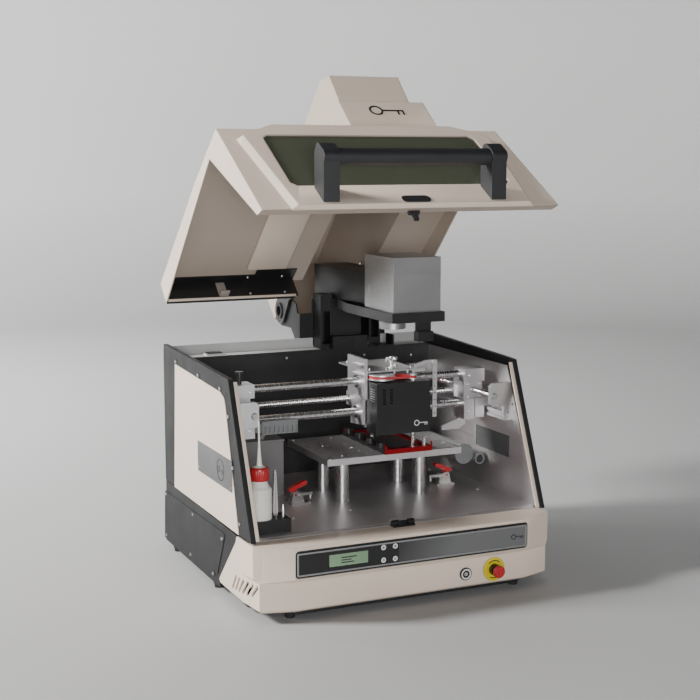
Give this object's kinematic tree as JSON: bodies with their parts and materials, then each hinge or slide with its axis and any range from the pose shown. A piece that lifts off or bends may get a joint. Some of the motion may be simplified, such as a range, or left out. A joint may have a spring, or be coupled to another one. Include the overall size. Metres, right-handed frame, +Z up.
{
  "type": "key duplicating machine",
  "caption": "Hooded desktop key duplicating machine with a milling carriage on a two-axis gantry, a work table, a scanning head and a tilting hood with a window.",
  "frame": {"origin": "centre of the footprint of the whole machine with its hood open, on the surface that the rubber feet stand on", "axes": "+X to the machine's right as seen from the front, +Y from the control face to the back, +Z up"},
  "size_m": [0.805, 1.2064, 1.2929],
  "materials": {
    "beige_shell": "fine textured satin paint over a moulded shell",
    "beige_panel": "fine textured powder coat",
    "dark_sheet": "dark grey fine textured powder coat",
    "black_sheet": "black fine textured powder coat",
    "stainless": "brushed sheet",
    "grey_sheet": "grey satin coat",
    "machined": "machined and bead blasted",
    "ground_steel": "ground and polished",
    "screw_steel": "bright zinc",
    "black_plastic": "satin moulded plastic",
    "panel_plastic": "satin printed membrane",
    "red_plastic": "glossy red",
    "red_anodised": "red anodised",
    "belt_rubber": "red polyurethane",
    "foot_rubber": "matt black rubber",
    "window": "smoked green safety sheet",
    "head_metal": "brushed grey anodised",
    "grip": "soft grained dark grey",
    "bottle_plastic": "milky polyethylene with a red cap"
  },
  "bodies": {
    "cabinet": {"base_chassis": "dark_sheet", "rubber_feet": "foot_rubber", "front_fascia": "beige_shell", "control_panel": "panel_plastic", "side_frames": "dark_sheet", "side_panels": "beige_panel", "lower_side_covers": "dark_sheet", "chamber_liner": "stainless", "back_wall": "black_sheet", "rear_casing": "grey_sheet", "casing_screws": "screw_steel", "button_bezels": "black_plastic", "latch_striker": "black_plastic", "table_plate": "machined", "table_posts": "ground_steel", "key_fixture": "red_anodised", "clamp_bases": "screw_steel", "y_guides": "machined", "drive_motors": "black_sheet", "power_supply": "grey_sheet", "column_frame": "black_sheet", "hinge_bracket": "dark_sheet", "arm_box": "black_sheet", "head_tray": "black_sheet", "scanning_head": "head_metal", "suction_nozzle": "grey_sheet", "enclosure_box": "dark_sheet", "tool_rack": "black_plastic"},
    "hood": {"hood_shell": "beige_shell", "hood_window": "window", "hood_hinge_plates": "black_sheet", "grab_handle": "grip", "latch_hook": "black_plastic"},
    "gantry": {"gantry_ends": "machined", "x_shafts": "ground_steel", "cable_chain": "black_plastic"},
    "x_screw": {"x_screw": "ground_steel"},
    "carriage": {"carriage_frame": "machined", "shaft_bearings": "ground_steel"},
    "lock_knob": {"lock_knob": "machined"},
    "head": {"head_slide": "machined", "spindle_cover": "black_sheet", "spindle_motor": "black_sheet", "drive_belt": "belt_rubber"},
    "motor_pulley": {"motor_pulley": "machined"},
    "spindle_shaft": {"spindle_shaft": "ground_steel"},
    "y_screw_left": {"y_screw_left": "ground_steel"},
    "y_screw_right": {"y_screw_right": "ground_steel"},
    "estop_button": {"estop_button": "red_plastic"},
    "power_button": {"power_button": "black_plastic"},
    "menu_button_1": {"menu_button_1": "black_plastic"},
    "menu_button_2": {"menu_button_2": "black_plastic"},
    "menu_button_3": {"menu_button_3": "black_plastic"},
    "menu_button_4": {"menu_button_4": "black_plastic"},
    "clamp_arm_left": {"clamp_arm_left": "screw_steel"},
    "clamp_handle_left": {"clamp_handle_left": "red_plastic"},
    "clamp_arm_right": {"clamp_arm_right": "screw_steel"},
    "clamp_handle_right": {"clamp_handle_right": "red_plastic"},
    "bottle": {"bottle": "bottle_plastic"},
    "tweezers": {"tweezers": "ground_steel"}
  },
  "joints": [
    {"name": "hood_hinge", "type": "hinge", "parent": "cabinet", "child": "hood", "pos_m": [0.14, 0.29881, 0.628], "axis": [1, 0, 0], "range_deg": [0, 46.6]},
    {"name": "gantry_y", "type": "slide", "parent": "cabinet", "child": "gantry", "axis": [0, 1, 0], "range_m": [-0.075, 0.18]},
    {"name": "carriage_x", "type": "slide", "parent": "gantry", "child": "carriage", "axis": [1, 0, 0], "range_m": [-0.18, 0.11]},
    {"name": "head_z", "type": "slide", "parent": "carriage", "child": "head", "axis": [0, 0, 1], "range_m": [-0.018, 0]},
    {"name": "x_screw_spin", "type": "hinge", "parent": "gantry", "child": "x_screw", "pos_m": [0, -0.19419, 0.448], "axis": [1, 0, 0], "range_deg": [-6500, 4700]},
    {"name": "y_screw_left_spin", "type": "hinge", "parent": "cabinet", "child": "y_screw_left", "pos_m": [-0.333, -0.17919, 0.457], "axis": [0, 1, 0], "range_deg": [-2720, 6500]},
    {"name": "y_screw_right_spin", "type": "hinge", "parent": "cabinet", "child": "y_screw_right", "pos_m": [0.333, -0.17919, 0.457], "axis": [0, 1, 0], "range_deg": [-2720, 6500]},
    {"name": "motor_pulley_spin", "type": "hinge", "parent": "head", "child": "motor_pulley", "pos_m": [0.042, -0.29719, 0.518], "axis": [0, 0, 1], "continuous": true},
    {"name": "spindle_spin", "type": "hinge", "parent": "head", "child": "spindle_shaft", "pos_m": [0.116, -0.33019, 0.518], "axis": [0, 0, 1], "continuous": true},
    {"name": "lock_knob_turn", "type": "hinge", "parent": "carriage", "child": "lock_knob", "pos_m": [0.086, -0.26719, 0.542], "axis": [0, 0, 1], "range_deg": [0, 180]},
    {"name": "estop_press", "type": "slide", "parent": "cabinet", "child": "estop_button", "axis": [0, 1, 0], "range_m": [0, 0.006], "stiffness_N_per_m": 1500},
    {"name": "power_press", "type": "slide", "parent": "cabinet", "child": "power_button", "axis": [0, 1, 0], "range_m": [0, 0.003], "stiffness_N_per_m": 800},
    {"name": "menu_1_press", "type": "slide", "parent": "cabinet", "child": "menu_button_1", "axis": [0, 1, 0], "range_m": [0, 0.0015], "stiffness_N_per_m": 600},
    {"name": "menu_2_press", "type": "slide", "parent": "cabinet", "child": "menu_button_2", "axis": [0, 1, 0], "range_m": [0, 0.0015], "stiffness_N_per_m": 600},
    {"name": "menu_3_press", "type": "slide", "parent": "cabinet", "child": "menu_button_3", "axis": [0, 1, 0], "range_m": [0, 0.0015], "stiffness_N_per_m": 600},
    {"name": "menu_4_press", "type": "slide", "parent": "cabinet", "child": "menu_button_4", "axis": [0, 1, 0], "range_m": [0, 0.0015], "stiffness_N_per_m": 600},
    {"name": "clamp_left_lift", "type": "hinge", "parent": "cabinet", "child": "clamp_arm_left", "pos_m": [-0.154, -0.21019, 0.208], "axis": [0, -1, 0], "range_deg": [0, 60]},
    {"name": "clamp_left_toggle", "type": "hinge", "parent": "cabinet", "child": "clamp_handle_left", "pos_m": [-0.166, -0.21019, 0.21], "axis": [0, -1, 0], "range_deg": [0, 75]},
    {"name": "clamp_right_lift", "type": "hinge", "parent": "cabinet", "child": "clamp_arm_right", "pos_m": [0.284, -0.17519, 0.208], "axis": [0, 1, 0], "range_deg": [0, 60]},
    {"name": "clamp_right_toggle", "type": "hinge", "parent": "cabinet", "child": "clamp_handle_right", "pos_m": [0.296, -0.17519, 0.21], "axis": [0, 1, 0], "range_deg": [0, 75]},
    {"name": "bottle_lift", "type": "slide", "parent": "cabinet", "child": "bottle", "axis": [0, 0, 1], "range_m": [0, 0.1]},
    {"name": "tweezers_lift", "type": "slide", "parent": "cabinet", "child": "tweezers", "axis": [0, 0, 1], "range_m": [0, 0.1]}
  ],
  "couplings": [
    {"joint": "x_screw_spin", "follows": "carriage_x", "rad_per_m": 628.32},
    {"joint": "y_screw_left_spin", "follows": "gantry_y", "rad_per_m": 628.32},
    {"joint": "y_screw_right_spin", "follows": "gantry_y", "rad_per_m": 628.32},
    {"joint": "spindle_spin", "follows": "motor_pulley_spin", "ratio": 3.8736},
    {"joint": "clamp_left_toggle", "follows": "clamp_left_lift", "ratio": 1.25},
    {"joint": "clamp_right_toggle", "follows": "clamp_right_lift", "ratio": 1.25}
  ]
}
